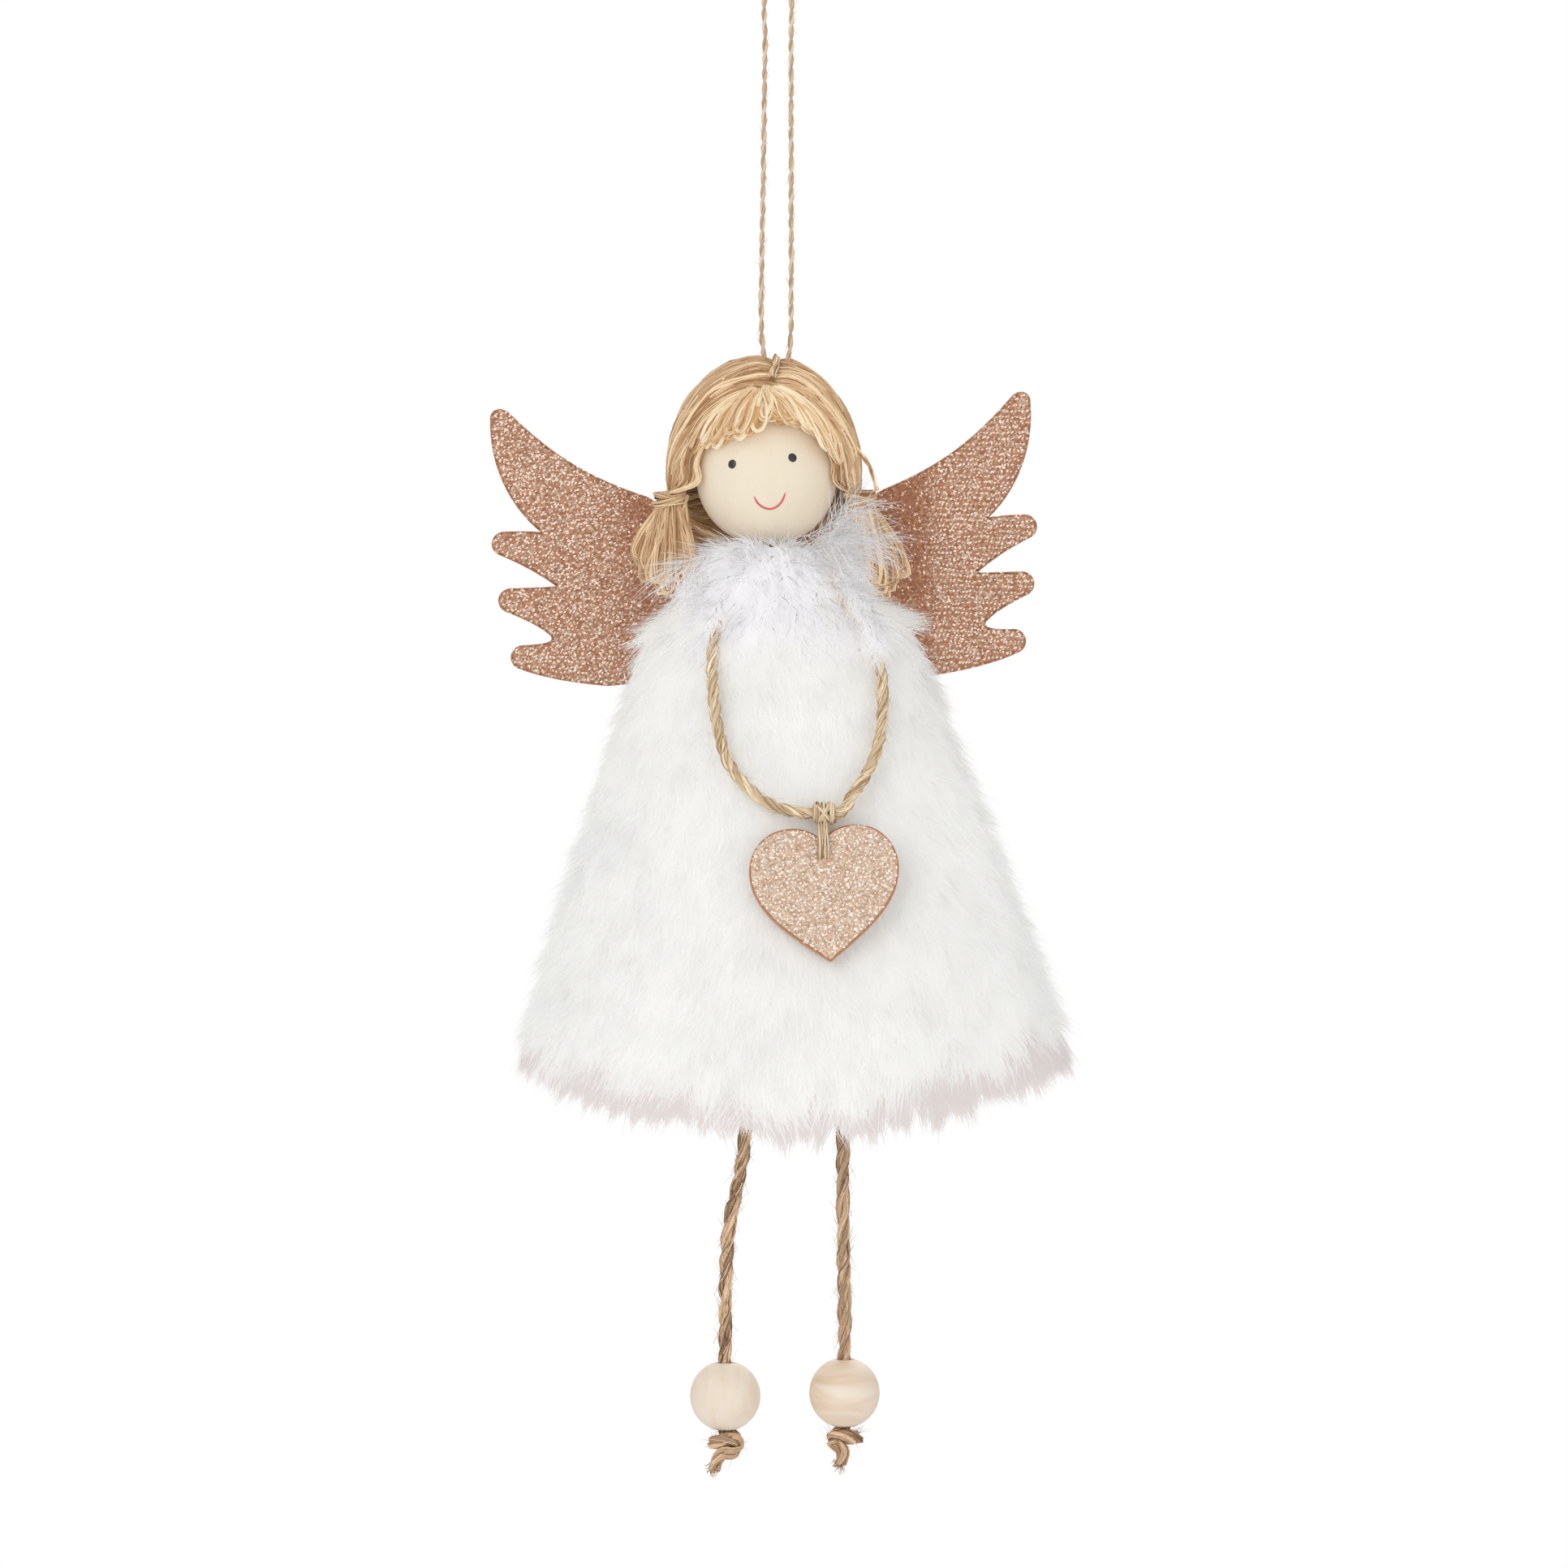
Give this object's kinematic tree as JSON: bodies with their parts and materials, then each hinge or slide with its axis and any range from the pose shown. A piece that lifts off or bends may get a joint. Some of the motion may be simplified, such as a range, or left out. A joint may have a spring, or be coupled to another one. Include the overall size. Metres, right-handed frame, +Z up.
{
  "type": "plush angel ornament",
  "caption": "Hanging plush angel with a stuffed fur dress, wooden bead head with jute hair, glitter wings, feather collar, rope necklace with a heart, and rope legs with wooden beads.",
  "frame": {"origin": "the top of the hanging loop, where a hook carries the ornament", "axes": "+Z up along the loop, front of the angel towards -Y, +X to the viewer's right"},
  "size_m": [0.1011, 0.062, 0.2619],
  "materials": {
    "twine": "raw jute twine",
    "hair": "combed jute fibre",
    "head_wood": "pale sanded wood with painted eyes and smile",
    "fur": "long white plush pile",
    "stuffing": "polyester fibre fill",
    "lining": "woven backing",
    "wing_glitter": "rose-gold glitter on a ribbed sheet",
    "heart_glitter": "champagne glitter with a copper edge",
    "feathers": "pale lavender marabou down",
    "rope": "twisted light jute",
    "leg_rope": "twisted brown jute",
    "foot_wood": "pale sanded wood with fine grain"
  },
  "bodies": {
    "torso": {"hang_loop": "twine", "neck_twine": "twine", "dress_skin": "fur", "stuffing": "stuffing", "base_panel": "lining", "wings": "wing_glitter", "necklace_neck_rope": "rope", "feather_collar": "feathers", "left_leg_anchor": "leg_rope", "right_leg_anchor": "leg_rope"},
    "head": {"head_bead": "head_wood", "hair_cap": "hair", "hair_fringe": "hair", "crown_tie": "hair", "left_pigtail": "hair", "left_pigtail_tie": "hair", "right_pigtail": "hair", "right_pigtail_tie": "hair"},
    "necklace": {"necklace_cord": "rope"},
    "pendant_knot": {"necklace_knot": "rope"},
    "pendant": {"heart": "heart_glitter", "heart_tie": "rope"},
    "left_hip": {"left_leg_root": "leg_rope"},
    "left_leg": {"left_leg_cord": "leg_rope", "left_foot_knot": "leg_rope"},
    "left_foot": {"left_foot_bead": "foot_wood"},
    "right_hip": {"right_leg_root": "leg_rope"},
    "right_leg": {"right_leg_cord": "leg_rope", "right_foot_knot": "leg_rope"},
    "right_foot": {"right_foot_bead": "foot_wood"}
  },
  "joints": [
    {"name": "head_swivel", "type": "hinge", "parent": "torso", "child": "head", "pos_m": [-0.0019, 0, -0.08655], "axis": [0, 0, 1], "range_deg": [-12, 12]},
    {"name": "necklace_swing", "type": "hinge", "parent": "torso", "child": "necklace", "pos_m": [0, -0.00973, -0.10681], "axis": [-1, 0, 0], "range_deg": [0, 60]},
    {"name": "heart_swing", "type": "hinge", "parent": "necklace", "child": "pendant_knot", "pos_m": [0.0081, -0.02482, -0.1458], "axis": [-1, 0, 0], "range_deg": [0, 70]},
    {"name": "heart_sway", "type": "hinge", "parent": "pendant_knot", "child": "pendant", "pos_m": [0.0081, -0.02482, -0.1483], "axis": [0, 1, 0], "range_deg": [-15, 8]},
    {"name": "left_leg_sway", "type": "hinge", "parent": "torso", "child": "left_hip", "pos_m": [-0.00571, 0, -0.19845], "axis": [0, 1, 0], "range_deg": [-4, 40]},
    {"name": "left_leg_swing", "type": "hinge", "parent": "left_hip", "child": "left_leg", "pos_m": [-0.00571, 0, -0.20235], "axis": [1, 0, 0], "range_deg": [-40, 40]},
    {"name": "left_bead_slide", "type": "slide", "parent": "left_leg", "child": "left_foot", "axis": [0, 0, 1], "range_m": [0, 0.01]},
    {"name": "right_leg_sway", "type": "hinge", "parent": "torso", "child": "right_hip", "pos_m": [0.01158, 0, -0.19788], "axis": [0, 1, 0], "range_deg": [-40, 4]},
    {"name": "right_leg_swing", "type": "hinge", "parent": "right_hip", "child": "right_leg", "pos_m": [0.01158, 0, -0.20178], "axis": [1, 0, 0], "range_deg": [-40, 40]},
    {"name": "right_bead_slide", "type": "slide", "parent": "right_leg", "child": "right_foot", "axis": [0, 0, 1], "range_m": [0, 0.01]}
  ]
}
